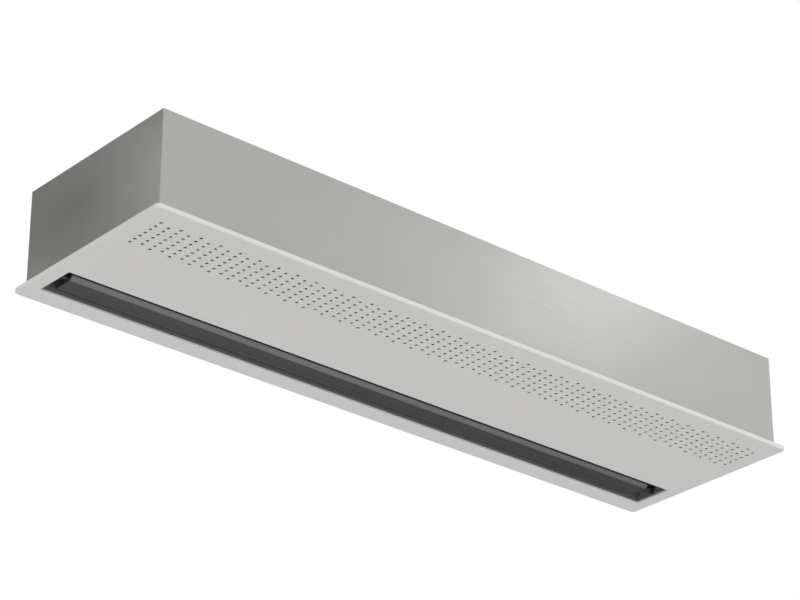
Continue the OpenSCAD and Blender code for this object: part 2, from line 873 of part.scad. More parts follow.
// A lead from the duct to each motor: across under the top, down, and into the stator
module motor_leads() color("black") {
  r = lead_d / 2;
  run_z = inner_top - duct_h / 2;
  for (number = [1 : fan_count])
    translate([fan_x(number) + scroll_l / 2, 0, 0]) {
      translate([lead_stand, duct_y + duct_w / 2, run_z])
        rotate([-90, 0, 0])
          cylinder(r = r, h = fan_y - duct_y - duct_w / 2, $fn = small_fn);
      translate([lead_stand, fan_y, fan_z])
        cylinder(r = r, h = run_z - fan_z, $fn = small_fn);
      translate([lead_stand, fan_y, run_z]) sphere(r = r, $fn = small_fn);
      translate([lead_stand, fan_y, fan_z]) sphere(r = r, $fn = small_fn);
      translate([0, fan_y, fan_z])
        rod_x(spider_stand + spider_t, lead_stand - spider_stand - spider_t, r, small_fn);
    }
}

top_plate();
intake_side_panel();
discharge_side_panel();
end_plate_left();
end_plate_right();
hanger_plates();
cable_grommets();
fascia_panel();
fascia_gasket();
fascia_studs();
stud_clips();
nozzle_channel();
nozzle_far_wall();
nozzle_end_left();
nozzle_end_right();
discharge_vane();
vane_end_caps();
vane_pins();
vane_lock_nuts();
vane_bushes();
scroll_housing(1);  // scroll_housing_1
scroll_housing(2);  // scroll_housing_2
scroll_housing(3);  // scroll_housing_3
scroll_housing(4);  // scroll_housing_4
inlet_rings(1);  // inlet_rings_1
inlet_rings(2);  // inlet_rings_2
inlet_rings(3);  // inlet_rings_3
inlet_rings(4);  // inlet_rings_4
impeller(1);  // impeller_1
impeller(2);  // impeller_2
impeller(3);  // impeller_3
impeller(4);  // impeller_4
motor_rotor(1);  // motor_rotor_1
motor_rotor(2);  // motor_rotor_2
motor_rotor(3);  // motor_rotor_3
motor_rotor(4);  // motor_rotor_4
motor_stator(1);  // motor_stator_1
motor_stator(2);  // motor_stator_2
motor_stator(3);  // motor_stator_3
motor_stator(4);  // motor_stator_4
motor_spider(1);  // motor_spider_1
motor_spider(2);  // motor_spider_2
motor_spider(3);  // motor_spider_3
motor_spider(4);  // motor_spider_4
control_box();
control_box_lid();
circuit_board();
capacitors();
terminal_block();
cable_duct();
motor_leads();
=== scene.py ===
"""Looks of a ceiling-recessed air curtain: materials, folded edges, small fasteners, light, camera.

Metres, in the part's own frame: origin at the middle of the fascia's underside, +X along the
length, +Y from the intake side to the discharge slot, +Z up into the ceiling.
"""

import json
import math

import bmesh
import bpy
from mathutils import Matrix, Vector
from mathutils.geometry import delaunay_2d_cdt


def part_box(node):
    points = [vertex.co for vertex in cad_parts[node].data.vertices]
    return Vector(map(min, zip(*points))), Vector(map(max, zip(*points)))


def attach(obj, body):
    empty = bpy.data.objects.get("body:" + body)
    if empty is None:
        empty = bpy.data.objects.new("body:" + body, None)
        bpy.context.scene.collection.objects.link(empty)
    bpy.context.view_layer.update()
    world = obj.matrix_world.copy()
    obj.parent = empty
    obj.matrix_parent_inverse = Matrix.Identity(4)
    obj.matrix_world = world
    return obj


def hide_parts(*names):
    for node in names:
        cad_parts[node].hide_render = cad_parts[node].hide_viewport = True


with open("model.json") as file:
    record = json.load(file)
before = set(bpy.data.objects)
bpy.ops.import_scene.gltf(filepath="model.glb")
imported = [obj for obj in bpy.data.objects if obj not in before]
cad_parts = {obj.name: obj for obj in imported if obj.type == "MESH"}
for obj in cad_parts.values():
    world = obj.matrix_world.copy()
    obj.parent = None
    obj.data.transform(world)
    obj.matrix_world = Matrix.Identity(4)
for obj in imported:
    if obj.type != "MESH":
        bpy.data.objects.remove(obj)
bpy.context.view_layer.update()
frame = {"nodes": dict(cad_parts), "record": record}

MM = 0.001
FAN_NUMBERS = (1, 2, 3, 4)

# Camera, fitted to the photograph's edges
CAMERA_AT = (-3.1486, -3.5679, -2.2360)
CAMERA_YAW = 40.956
CAMERA_PITCH = 26.683
CAMERA_ROLL = -0.02
LENS_MM = 130.16
SENSOR_MM = 36.0
CAMERA_REACH = 100.0

# Edges of folded and cut sheet
FOLD_R = 2.0 * MM
CUT_EDGE_R = 0.35 * MM
WELD_DISTANCE = 0.002 * MM
FILL_DISTANCE = 1e-7
SMOOTH_ANGLE = math.radians(32)
FLAT_ANGLE = math.radians(0.4)
FLAT_FACE_WEIGHT = 90
LONG_EDGE = 20.0 * MM
FULL_LENGTH_EDGE = 500.0 * MM

# Fascia
FASCIA_T = 1.5 * MM
FASCIA_CORNER_R = 9.0 * MM
SLOT_LOW = (-722.0 * MM, 80.5 * MM)
SLOT_HIGH = (722.0 * MM, 167.5 * MM)
SLOT_CORNER_R = 0.8 * MM
SLOT_RETURN_H = 5.0 * MM
HOLE_D = 6.5 * MM
HOLE_PITCH = (20.6 * MM, 14.4 * MM)
HOLE_FIELD_W = 93.5 * MM
HOLE_NEAR_MARGIN = 40.5 * MM
HOLE_END_MARGIN = 35.5 * MM
HOLE_EDGE_R = 0.25 * MM
HOLE_SIDES = 20
CORNER_STEPS = 8
FOLD_STEPS = 4
EDGE_STEPS = 2

# Small fasteners
SCREW_SIDES = 24
SUNK = 0.1 * MM
RIVET_R = 4.0 * MM
RIVET_H = 1.4 * MM
RIVET_INSET = 8.0 * MM
HANGER_L = 60.0 * MM
HANGER_W = 40.0 * MM
SCREW_R = 3.6 * MM
SCREW_H = 2.0 * MM
LID_SCREW_INSET = 8.0 * MM
SMALL_SCREW_R = 2.6 * MM
SMALL_SCREW_H = 1.8 * MM
SPIDER_ARMS = 3
SPIDER_ARM_ANGLE = 90
SPIDER_T = 2.5 * MM
SPIDER_FOOT_R = 52.05 * MM
HUB_SCREWS = 4
HUB_SCREW_ANGLE = 45
HUB_SCREW_R = 14.0 * MM

# Their heads, as shares of the head's radius and height
RIVET_RIM_H = 0.2
RIVET_FLAT_R = 0.3
RIVET_PIT_R = 0.22
RIVET_PIT_H = 0.7
SCREW_RIM_H = 0.25
SCREW_FLAT_R = 0.62
SOCKET_R = 0.42
SOCKET_FLOOR_H = 0.35

# Surface textures. A noise is its scale, detail and roughness; a cloud is its scale and the
# darkest and lightest share of the tone; a spread is how far roughness goes below and above its
# mean; a bump is its strength and height.
CLOUD_DETAIL = 2.0
SHEET_STREAKS = (900.0, 4.0, 0.6)
SHEET_STREAK_STRETCH = 0.02
SHEET_STREAK_DARK = (0.4, 0.4, 0.4)
SHEET_CLOUD = (5.0, 0.975, 1.02)
SHEET_SPREAD = (-0.05, 0.06)
SHEET_BUMP = (0.05, 0.02 * MM)
SPANGLE_SCALE = 90.0
COAT_CLOUD = (3.0, 0.985, 1.01)
COAT_PEEL_DETAIL = (2.0, 0.55)
COAT_FLECK_RATIO = 4.0
COAT_FLECK_DETAIL = 1.0
COAT_FLECK_H = 0.01 * MM
COAT_PEEL_H = 0.04 * MM
COAT_SPREAD = (-0.05, 0.05)
COAT_SPECULAR = 0.4
DIE_LINES = (1600.0, 3.0, 0.6)
DIE_LINE_STRETCH = (0.004, 1, 1)
ANODISED_CLOUD = (4.0, 0.94, 1.06)
ANODISED_SPREAD = (-0.06, 0.08)
ANODISED_BUMP = (0.16, 0.03 * MM)
MOULD_GRAIN = (2500.0, 3.0, 0.6)
MOULD_CLOUD = (20.0, 0.93, 1.05)
MOULD_SPREAD = (-0.06, 0.08)
HARD_MOULD_BUMP = (0.1, 0.05 * MM)
SOFT_MOULD_BUMP = (0.1, 0.2 * MM)
CAST_PEBBLES = (700.0, 5.0, 0.65)
CAST_TONES = (0.85, 1.1)
CAST_SPREAD = (-0.08, 0.1)
CAST_BUMP = (0.3, 0.1 * MM)
CAST_METALLIC = 0.7
FOAM_CELL_SCALE = 1200.0
FOAM_PORE_SHADE_TONES = (0.5, 1.4)
FOAM_BUMP = (0.6, 0.3 * MM)
FOAM_ROUGHNESS = 0.95
RUNS_SCALE = 260.0
RUNS_GAP = 0.03
RUNS_TONES = (1.25, 1.9)
LACQUER_SCALE = 500.0
LACQUER_ROUGHNESS = (0.25, 0.4)

# Studio
FLOOR_MIDDLE = (1.3, -2.0, -6.5)
FLOOR_SIZE = 10.0
FLOOR_GLOW = 0.265
WORLD_LEVEL = 0.63
WORLD_SLOPE = 0.452
WORLD_BRIGHT_SIDE = Vector((-0.184, -0.929, -0.319)).normalized()
BACKDROP_TOWARDS = Vector((0.586, 0.675, 0.449)).normalized()
BACKDROP_EDGE = 0.66
BACKDROP_FULL = 0.85
FLAG_TOWARDS = Vector((0.90, 0.30, -0.30)).normalized()
FLAG_EDGE = 0.75
FLAG_FULL = 0.95
FLAG_LEVEL = 0.25
SOFT_WHITE = (1, 0.995, 0.985, 1)
WHITE = (1, 1, 1, 1)
FLOOR_TONES = ((0.86, 0.86, 0.855), (0.9, 0.9, 0.895))
FLOOR_CLOUD_SCALE = 0.6
FLOOR_ROUGHNESS = 0.8
FLOOR_SQUARES = 8

# Lamps: name, place, aim, width and height, watts
LAMPS = (
    ("long_side_card", (1.06, -1.01, 0.80), (0.25, -0.19, 0.16), (0.26, 0.30), 0.75),
    ("right_card", (1.95, -1.05, 0.62), (0.80, -0.19, 0.10), (0.40, 0.40), 0.4),
    ("end_card", (-1.30, 0.30, 0.42), (-0.73, -0.19, 0.06), (0.20, 0.20), 0.30),
    ("end_low_card", (-1.03, 0.53, 0.17), (-0.73, 0.19, 0.01), (0.12, 0.12), 0.05),
    ("back_fill", (1.8, 3.4, 2.6), (0, 0.1, 0.1), (4.0, 4.0), 60),
)


# Materials


class Nodes:
    """A material's node tree with short calls for the nodes that this scene uses."""

    def __init__(self, name):
        self.material = bpy.data.materials.new(name)
        self.material.use_nodes = True
        self.tree = self.material.node_tree
        self.shader = self.tree.nodes["Principled BSDF"]
        self.place = self.add("ShaderNodeTexCoord").outputs["Object"]

    def add(self, kind, **values):
        node = self.tree.nodes.new(kind)
        for key, value in values.items():
            setattr(node, key, value)
        return node

    def link(self, source, target):
        self.tree.links.new(source, target)

    def set(self, **values):
        for key, value in values.items():
            self.shader.inputs[key.replace("_", " ")].default_value = value

    def stretched(self, scale):
        """Object coordinates, scaled apart along the three axes."""
        mapping = self.add("ShaderNodeMapping")
        mapping.inputs["Scale"].default_value = scale
        self.link(self.place, mapping.inputs["Vector"])
        return mapping.outputs["Vector"]

    def noise(self, scale, detail=3.0, rough=0.5, stretch=(1, 1, 1)):
        node = self.add("ShaderNodeTexNoise")
        node.inputs["Scale"].default_value = scale
        node.inputs["Detail"].default_value = detail
        node.inputs["Roughness"].default_value = rough
        self.link(self.stretched(stretch), node.inputs["Vector"])
        return node.outputs["Fac"]

    def cells(self, scale):
        node = self.add("ShaderNodeTexVoronoi")
        node.inputs["Scale"].default_value = scale
        self.link(self.place, node.inputs["Vector"])
        return node.outputs

    def span(self, value, low, high):
        """Maps a noise value near 0.5 onto low to high."""
        node = self.add("ShaderNodeMapRange")
        node.inputs["From Min"].default_value = 0.25
        node.inputs["From Max"].default_value = 0.75
        node.inputs["To Min"].default_value = low
        node.inputs["To Max"].default_value = high
        self.link(value, node.inputs["Value"])
        return node.outputs["Result"]

    def tint(self, factor, dark, light):
        return self.blend("MIX", factor, (*dark, 1), (*light, 1))

    def blend(self, kind, factor, base, over):
        """Lays one colour over another; each value is a socket or a constant."""
        node = self.add("ShaderNodeMix", data_type="RGBA", blend_type=kind)
        for name, value in (("Factor", factor), ("A", base), ("B", over)):
            if isinstance(value, bpy.types.NodeSocket):
                self.link(value, node.inputs[name])
            else:
                node.inputs[name].default_value = value
        return node.outputs["Result"]

    def clouded(self, tone, cloud):
        """A tone with slow cloudiness."""
        scale, dark, light = cloud
        drift = self.span(self.noise(scale, CLOUD_DETAIL), 0, 1)
        return self.tint(drift, scaled(tone, dark), scaled(tone, light))

    def colour(self, source):
        self.link(source, self.shader.inputs["Base Color"])

    def roughen(self, value, mean, spread):
        low, high = spread
        self.link(self.span(value, mean + low, mean + high), self.shader.inputs["Roughness"])

    def bump(self, height, strength, distance, under=None):
        """Bumps the surface, over another bump if there is one; returns the new normal."""
        node = self.add("ShaderNodeBump")
        node.inputs["Strength"].default_value = strength
        node.inputs["Distance"].default_value = distance
        self.link(height, node.inputs["Height"])
        if under is not None:
            self.link(under, node.inputs["Normal"])
        self.link(node.outputs["Normal"], self.shader.inputs["Normal"])
        return node.outputs["Normal"]


def scaled(tone, factor):
    return tuple(min(1.0, channel * factor) for channel in tone)


def sheet_metal(name, tone, metallic, roughness, grain, spangle=0.0, long_axis=0, painted_shade_patch=None):
    """Rolled sheet: fine grain along the roll, slow cloudiness and, if asked, zinc spangle
    and one soft darker patch of painted shade, standing in for a dim reflection, given by its
    centre, half sizes and depth."""
    n = Nodes(name)
    stretch = [1.0, 1.0, 1.0]
    stretch[long_axis] = SHEET_STREAK_STRETCH
    streak = n.noise(*SHEET_STREAKS, stretch)
    dark_streaks = n.tint(n.span(streak, 0, 1), SHEET_STREAK_DARK, (1, 1, 1))
    colour = n.blend("MULTIPLY", grain, n.clouded(tone, SHEET_CLOUD), dark_streaks)
    if spangle > 0:
        flakes = n.add("ShaderNodeRGBToBW")
        n.link(n.cells(SPANGLE_SCALE)["Color"], flakes.inputs["Color"])
        colour = n.blend("OVERLAY", spangle, colour, flakes.outputs["Val"])
    # A soft darker patch multiplied into the tone: painted shade standing in for a dim reflection
    if painted_shade_patch is not None:
        centre, half_sizes, depth = painted_shade_patch
        placed = n.add("ShaderNodeMapping", vector_type="TEXTURE")
        placed.inputs["Location"].default_value = centre
        placed.inputs["Scale"].default_value = half_sizes
        n.link(n.place, placed.inputs["Vector"])
        shade_patch = n.add("ShaderNodeTexGradient", gradient_type="QUADRATIC_SPHERE")
        n.link(placed.outputs["Vector"], shade_patch.inputs["Vector"])
        kept = 1 - depth
        colour = n.blend("MULTIPLY", shade_patch.outputs["Fac"], colour, (kept, kept, kept, 1))
    n.colour(colour)
    n.roughen(streak, roughness, SHEET_SPREAD)
    n.bump(streak, *SHEET_BUMP)
    n.set(Metallic=metallic)
    return n.material


def powder_coat(name, tone, roughness=0.5, peel=0.12, peel_scale=1400.0):
    """Powder-coated sheet: fine orange peel and the least cloudiness in tone."""
    n = Nodes(name)
    grain = n.noise(peel_scale, *COAT_PEEL_DETAIL)
    fleck = n.noise(COAT_FLECK_RATIO * peel_scale, COAT_FLECK_DETAIL)
    n.colour(n.clouded(tone, COAT_CLOUD))
    n.roughen(grain, roughness, COAT_SPREAD)
    under = n.bump(fleck, peel / 2, COAT_FLECK_H)
    n.bump(grain, peel, COAT_PEEL_H, under)
    n.set(Metallic=0.0, Specular_IOR_Level=COAT_SPECULAR)
    return n.material


def anodised(name, tone, roughness, metallic):
    """Anodised extrusion: die lines along X under an even dark film."""
    n = Nodes(name)
    lines = n.noise(*DIE_LINES, DIE_LINE_STRETCH)
    n.colour(n.clouded(tone, ANODISED_CLOUD))
    n.roughen(lines, roughness, ANODISED_SPREAD)
    n.bump(lines, *ANODISED_BUMP)
    n.set(Metallic=metallic)
    return n.material


def moulded(name, tone, roughness, soft=False):
    """Moulded plastic or rubber with a fine eroded grain."""
    n = Nodes(name)
    grain = n.noise(*MOULD_GRAIN)
    n.colour(n.clouded(tone, MOULD_CLOUD))
    n.roughen(grain, roughness, MOULD_SPREAD)
    n.bump(grain, *(SOFT_MOULD_BUMP if soft else HARD_MOULD_BUMP))
    return n.material


def cast_metal(name, tone, roughness):
    """Die-cast metal: pebbled skin under thin paint."""
    n = Nodes(name)
    pebbles = n.noise(*CAST_PEBBLES)
    dark, light = CAST_TONES
    n.colour(n.tint(n.span(pebbles, 0, 1), scaled(tone, dark), scaled(tone, light)))
    n.roughen(pebbles, roughness, CAST_SPREAD)
    n.bump(pebbles, *CAST_BUMP)
    n.set(Metallic=CAST_METALLIC)
    return n.material


def foam(name, tone):
    """Open-cell foam strip, darker at the middle of each cell: painted shade in the pores."""
    n = Nodes(name)
    depth = n.cells(FOAM_CELL_SCALE)["Distance"]
    dark, light = FOAM_PORE_SHADE_TONES
    # Darker where the cell is deepest: painted shade in the pores
    n.colour(n.tint(depth, scaled(tone, dark), scaled(tone, light)))
    n.bump(depth, *FOAM_BUMP)
    n.set(Roughness=FOAM_ROUGHNESS)
    return n.material


def laminate(name, tone):
    """Green circuit laminate with a faint web of copper runs under the lacquer."""
    n = Nodes(name)
    lighter, run = RUNS_TONES
    brick = n.add("ShaderNodeTexBrick")
    brick.inputs["Scale"].default_value = RUNS_SCALE
    brick.inputs["Mortar Size"].default_value = RUNS_GAP
    brick.inputs["Color1"].default_value = (*tone, 1)
    brick.inputs["Color2"].default_value = (*scaled(tone, lighter), 1)
    brick.inputs["Mortar"].default_value = (*scaled(tone, run), 1)
    n.link(n.place, brick.inputs["Vector"])
    n.colour(brick.outputs["Color"])
    n.roughen(n.noise(LACQUER_SCALE), 0, LACQUER_ROUGHNESS)
    return n.material


# Each look: its maker, tone and other values
LOOKS = {
    "casing_sheet": (sheet_metal, (0.50, 0.497, 0.486), dict(
        metallic=0.75, roughness=0.40, grain=0.05)),
    # End plates: the casing's sheet in a darker tone, painted shade of the end faces, with a soft
    # darker patch of painted shade
    "end_sheet": (sheet_metal, (0.375, 0.372, 0.360), dict(
        metallic=0.80, roughness=0.36, grain=0.05, long_axis=2,
        painted_shade_patch=((0, 0.05, 0.115), (10.0, 0.24, 0.13), 0.22))),
    "zinc_steel": (sheet_metal, (0.62, 0.63, 0.64), dict(metallic=1.0, roughness=0.30, grain=0.08)),
    "black_steel": (sheet_metal, (0.05, 0.05, 0.052), dict(metallic=0.8, roughness=0.42, grain=0.08)),
    "grommet_rubber": (moulded, (0.035, 0.035, 0.036), dict(roughness=0.65, soft=True)),
    "fascia_paint": (powder_coat, (0.785, 0.78, 0.77), {}),
    "gasket_foam": (foam, (0.05, 0.05, 0.05), {}),
    "spring_steel": (sheet_metal, (0.34, 0.36, 0.40), dict(metallic=1.0, roughness=0.32, grain=0.10)),
    "nozzle_black": (powder_coat, (0.17, 0.17, 0.172), dict(
        roughness=0.50, peel=0.2, peel_scale=900.0)),
    "vane_anodised": (anodised, (0.172, 0.172, 0.173), dict(roughness=0.27, metallic=1.0)),
    "cap_plastic": (moulded, (0.03, 0.03, 0.03), dict(roughness=0.55)),
    "bush_plastic": (moulded, (0.05, 0.05, 0.05), dict(roughness=0.45)),
    "scroll_sheet": (sheet_metal, (0.55, 0.56, 0.57), dict(
        metallic=0.95, roughness=0.36, grain=0.06, spangle=0.22)),
    "inlet_ring_sheet": (sheet_metal, (0.58, 0.59, 0.60), dict(
        metallic=1.0, roughness=0.30, grain=0.06)),
    "impeller_sheet": (sheet_metal, (0.50, 0.51, 0.53), dict(metallic=1.0, roughness=0.34, grain=0.08)),
    "rotor_metal": (cast_metal, (0.22, 0.23, 0.25), dict(roughness=0.5)),
    "stator_metal": (cast_metal, (0.10, 0.10, 0.11), dict(roughness=0.6)),
    "box_sheet": (sheet_metal, (0.58, 0.58, 0.57), dict(
        metallic=0.95, roughness=0.38, grain=0.06, spangle=0.18)),
    "board_green": (laminate, (0.02, 0.13, 0.05), {}),
    "capacitor_shell": (moulded, (0.75, 0.75, 0.73), dict(roughness=0.35)),
    "terminal_plastic": (moulded, (0.62, 0.60, 0.52), dict(roughness=0.5)),
    "duct_plastic": (moulded, (0.66, 0.66, 0.64), dict(roughness=0.5)),
    "lead_sheath": (moulded, (0.02, 0.02, 0.02), dict(roughness=0.45)),
}
MATERIALS = {name: make(name, tone, **values) for name, (make, tone, values) in LOOKS.items()}

# Nodes that look unlike the rest of their slot; the end plates' darker sheet is painted shade of the
# end faces
OWN_LOOK = {
    "end_plate_left": "end_sheet",
    "end_plate_right": "end_sheet",
    "vane_pins": "black_steel",
    "vane_lock_nuts": "black_steel",
}


# Mesh helpers


def dress_cad_nodes():
    """Gives every CAD node the material of its slot."""
    slots = {row["node"]: row["material_slot"] for row in frame["record"]["subparts"]}
    for name, obj in frame["nodes"].items():
        obj.data.materials.clear()
        obj.data.materials.append(MATERIALS[OWN_LOOK.get(name, slots[name])])


def cad_bmesh(node):
    """A CAD node's mesh with its split corners welded and its flat faces joined up."""
    bm = bmesh.new()
    bm.from_mesh(frame["nodes"][node].data)
    bmesh.ops.remove_doubles(bm, verts=bm.verts, dist=WELD_DISTANCE)
    bmesh.ops.dissolve_limit(bm, angle_limit=FLAT_ANGLE, verts=bm.verts, edges=bm.edges)
    return bm


def round_edges(bm, radius, segments, picked):
    """Rounds every sharp edge that the test picks."""
    sharp = [e for e in bm.edges
             if len(e.link_faces) == 2 and e.calc_face_angle(0) > SMOOTH_ANGLE and picked(e)]
    if sharp:
        bmesh.ops.bevel(bm, geom=sharp, offset=radius, offset_type="OFFSET", segments=segments,
                        profile=0.5, affect="EDGES", clamp_overlap=True)


def finish_mesh(bm, name, material):
    """Makes the object, smooth across soft angles and crisp across sharp ones."""
    bmesh.ops.triangulate(bm, faces=bm.faces, quad_method="BEAUTY", ngon_method="BEAUTY")
    for face in bm.faces:
        face.smooth = True
    for edge in bm.edges:
        edge.smooth = len(edge.link_faces) == 2 and edge.calc_face_angle(0) < SMOOTH_ANGLE
    mesh = bpy.data.meshes.new(name)
    bm.to_mesh(mesh)
    bm.free()
    obj = bpy.data.objects.new(name, mesh)
    bpy.context.scene.collection.objects.link(obj)
    mesh.materials.append(MATERIALS[material])
    return obj


def weight_normals(obj):
    """Keeps flat faces flat next to small rounded edges."""
    modifier = obj.modifiers.new("weighted", "WEIGHTED_NORMAL")
    modifier.keep_sharp = True
    modifier.weight = FLAT_FACE_WEIGHT


def stand_for(obj, node, body):
    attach(obj, body)
    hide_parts(node)


def replace_node(node, material, body, passes):
    """A detailed piece in a CAD node's place: the same form with its edges rounded."""
    bm = cad_bmesh(node)
    for radius, segments, picked in passes:
        round_edges(bm, radius, segments, picked)
    obj = finish_mesh(bm, node + "_finished", material)
    weight_normals(obj)
    stand_for(obj, node, body)


def is_long(edge, length=LONG_EDGE):
    return edge.calc_length() > length


def quarter(steps):
    """Sines and cosines of the angles that divide a quarter turn."""
    angles = [math.pi / 2 * i / steps for i in range(steps + 1)]
    return [(math.sin(a), math.cos(a)) for a in angles]


def rectangle_ring(low, high, corner, inset, z):
    """Points round a rectangle with rounded corners, drawn in by the inset or out if it's negative."""
    r = corner - inset
    x0, y0 = low[0] + inset + r, low[1] + inset + r
    x1, y1 = high[0] - inset - r, high[1] - inset - r
    points = []
    for turn, (x, y) in enumerate(((x1, y1), (x0, y1), (x0, y0), (x1, y0))):
        for i in range(CORNER_STEPS + 1):
            a = math.pi / 2 * (turn + i / CORNER_STEPS)
            points.append((x + r * math.cos(a), y + r * math.sin(a), z))
    return points


def circle_ring(x, y, r, z, sides):
    angles = [2 * math.pi * i / sides for i in range(sides)]
    return [(x + r * math.cos(a), y + r * math.sin(a), z) for a in angles]


def skin(bm, rings):
    """Quads between a run of closed rings of points; returns the first and last ring."""
    made = [[bm.verts.new(point) for point in ring] for ring in rings]
    for lower, upper in zip(made, made[1:]):
        for i, vert in enumerate(lower):
            j = (i + 1) % len(lower)
            bm.faces.new((vert, lower[j], upper[j], upper[i]))
    return made[0], made[-1]


def fill_flat(bm, outer, holes):
    """Triangles between an outer ring of vertices and its holes, all in one plane."""
    verts, loops = [], []
    for ring in [outer] + holes:
        loops.append(list(range(len(verts), len(verts) + len(ring))))
        verts += ring
    flat = [Vector((v.co.x, v.co.y)) for v in verts]
    _, _, triangles, source, _, owners = delaunay_2d_cdt(flat, [], loops, 1, FILL_DISTANCE)
    for triangle, inside in zip(triangles, owners):
        if inside == [0]:
            bm.faces.new([verts[source[i][0]] for i in triangle])


dress_cad_nodes()


# Casing and fascia


def folded_edge(height):
    """Offsets and heights round an edge folded upwards, from the sheet's lower to its upper face."""
    inner_r = FOLD_R - FASCIA_T
    fold = [(FOLD_R * (1 - s), FOLD_R * (1 - c)) for s, c in quarter(FOLD_STEPS)]
    outer_edge = [(CUT_EDGE_R * (1 - c), height - CUT_EDGE_R * (1 - s))
                  for s, c in quarter(EDGE_STEPS)]
    inner_edge = [(FASCIA_T - CUT_EDGE_R * (1 - s), height - CUT_EDGE_R * (1 - c))
                  for s, c in quarter(EDGE_STEPS)]
    inner_fold = [(FOLD_R - inner_r * c, FOLD_R - inner_r * s) for s, c in quarter(FOLD_STEPS)]
    return fold + outer_edge + inner_edge + inner_fold


def hole_places(low, high):
    """Staggered columns of intake holes: every second column is shifted by half a pitch."""
    pitch_x, pitch_y = HOLE_PITCH
    columns = int((high[0] - low[0] - 2 * HOLE_END_MARGIN - HOLE_D) / pitch_x) + 1
    most_rows = int((HOLE_FIELD_W - HOLE_D) / pitch_y) + 1
    middle_y = low[1] + HOLE_NEAR_MARGIN + HOLE_FIELD_W / 2
    for column in range(columns):
        rows = most_rows - column % 2
        x = (column - (columns - 1) / 2) * pitch_x
        for row in range(rows):
            yield x, middle_y + (row - (rows - 1) / 2) * pitch_y


def make_fascia():
    """The folded tray: its rim, the slot's return, the punched holes and the two flat faces."""
    low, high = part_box("fascia_panel")
    bm = bmesh.new()
    outer_low, outer_high = skin(bm, [
        rectangle_ring(low, high, FASCIA_CORNER_R, offset, z)
        for offset, z in folded_edge(high[2])])
    slot_low, slot_high = skin(bm, [
        rectangle_ring(SLOT_LOW, SLOT_HIGH, SLOT_CORNER_R, -offset, z)
        for offset, z in folded_edge(SLOT_RETURN_H)])
    lows, highs = [slot_low], [slot_high]
    punched = [(HOLE_EDGE_R * (1 - s), HOLE_EDGE_R * (1 - c)) for s, c in quarter(EDGE_STEPS)]
    punched.append((0, FASCIA_T))
    for x, y in hole_places(low, high):
        hole_low, hole_high = skin(bm, [
            circle_ring(x, y, HOLE_D / 2 + grow, z, HOLE_SIDES) for grow, z in punched])
        lows.append(hole_low)
        highs.append(hole_high)
    fill_flat(bm, outer_low, lows)
    fill_flat(bm, outer_high, highs)
    bmesh.ops.recalc_face_normals(bm, faces=bm.faces)
    obj = finish_mesh(bm, "fascia_panel_finished", "fascia_paint")
    weight_normals(obj)
    stand_for(obj, "fascia_panel", "fascia")


def make_casing():
    def long_fold(edge):
        return is_long(edge, FULL_LENGTH_EDGE)

    def cut_end(edge):
        return is_long(edge) and not long_fold(edge)

    for node in ("top_plate", "intake_side_panel", "discharge_side_panel"):
        replace_node(node, "casing_sheet", "casing", [
            (CUT_EDGE_R, 2, long_fold),
            (CUT_EDGE_R, 1, cut_end),
        ])
    # The end plates take the darker sheet: painted shade of the end faces
    for side in ("left", "right"):
        replace_node("end_plate_" + side, "end_sheet", "casing", [(CUT_EDGE_R, 2, is_long)])


def make_nozzle_and_vane():
    for node in ("nozzle_channel", "nozzle_far_wall"):
        replace_node(node, "nozzle_black", "casing", [(CUT_EDGE_R, 2, is_long)])
    replace_node("discharge_vane", "vane_anodised", "vane", [])


def make_scroll(number):
    """The scroll again, smooth round its curve."""
    replace_node("scroll_housing_%d" % number, "scroll_sheet", "casing", [])


# Small fasteners


def round_ring(r, z, sides):
    return [(x, y, z) for x, y, _ in circle_ring(0, 0, r, z, sides)]


def hexagon_ring(half_flat, z, sides):
    """As many points as a round ring has, on the sides of a hexagon."""
    points = []
    for i in range(sides):
        a = 2 * math.pi * i / sides
        off = (a + math.pi / 6) % (math.pi / 3) - math.pi / 6
        r = half_flat / math.cos(off)
        points.append((r * math.cos(a), r * math.sin(a), z))
    return points


def domed_rings(r, height, rim, flat):
    """A head's outside, from its sunk foot up its rim and dome to the edge of its flat top."""
    rings = [round_ring(r, -SUNK, SCREW_SIDES), round_ring(r, height * rim, SCREW_SIDES)]
    for s, c in quarter(FOLD_STEPS)[1:-1]:
        rings.append(round_ring(r * (flat + (1 - flat) * c), height * (rim + (1 - rim) * s),
                                SCREW_SIDES))
    rings.append(round_ring(r * flat, height, SCREW_SIDES))
    return rings


def rivet_rings(r, height):
    """A domed rivet head, from its rim up to the mandrel's small flat."""
    rings = domed_rings(r, height, RIVET_RIM_H, RIVET_FLAT_R)
    rings.append(round_ring(r * RIVET_PIT_R, height * RIVET_PIT_H, SCREW_SIDES))
    return rings


def screw_rings(r, height):
    """A button-head screw with a hexagon socket."""
    rings = domed_rings(r, height, SCREW_RIM_H, SCREW_FLAT_R)
    rings.append(hexagon_ring(r * SOCKET_R, height, SCREW_SIDES))
    rings.append(hexagon_ring(r * SOCKET_R, height * SOCKET_FLOOR_H, SCREW_SIDES))
    return rings


def make_fasteners(name, rings, places, towards, body, material):
    """One piece with a head at each place, standing up along the given direction."""
    turn = Vector((0, 0, 1)).rotation_difference(Vector(towards)).to_matrix()
    bm = bmesh.new()
    for place in places:
        foot, top = skin(bm, [[turn @ Vector(p) + Vector(place) for p in ring] for ring in rings])
        bm.faces.new(foot)
        bm.faces.new(top)
    bmesh.ops.recalc_face_normals(bm, faces=bm.faces)
    obj = finish_mesh(bm, name, material)
    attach(obj, body)


def corners(low, high, inset_x, inset_y):
    return [(x, y) for x in (low[0] + inset_x, high[0] - inset_x)
            for y in (low[1] + inset_y, high[1] - inset_y)]


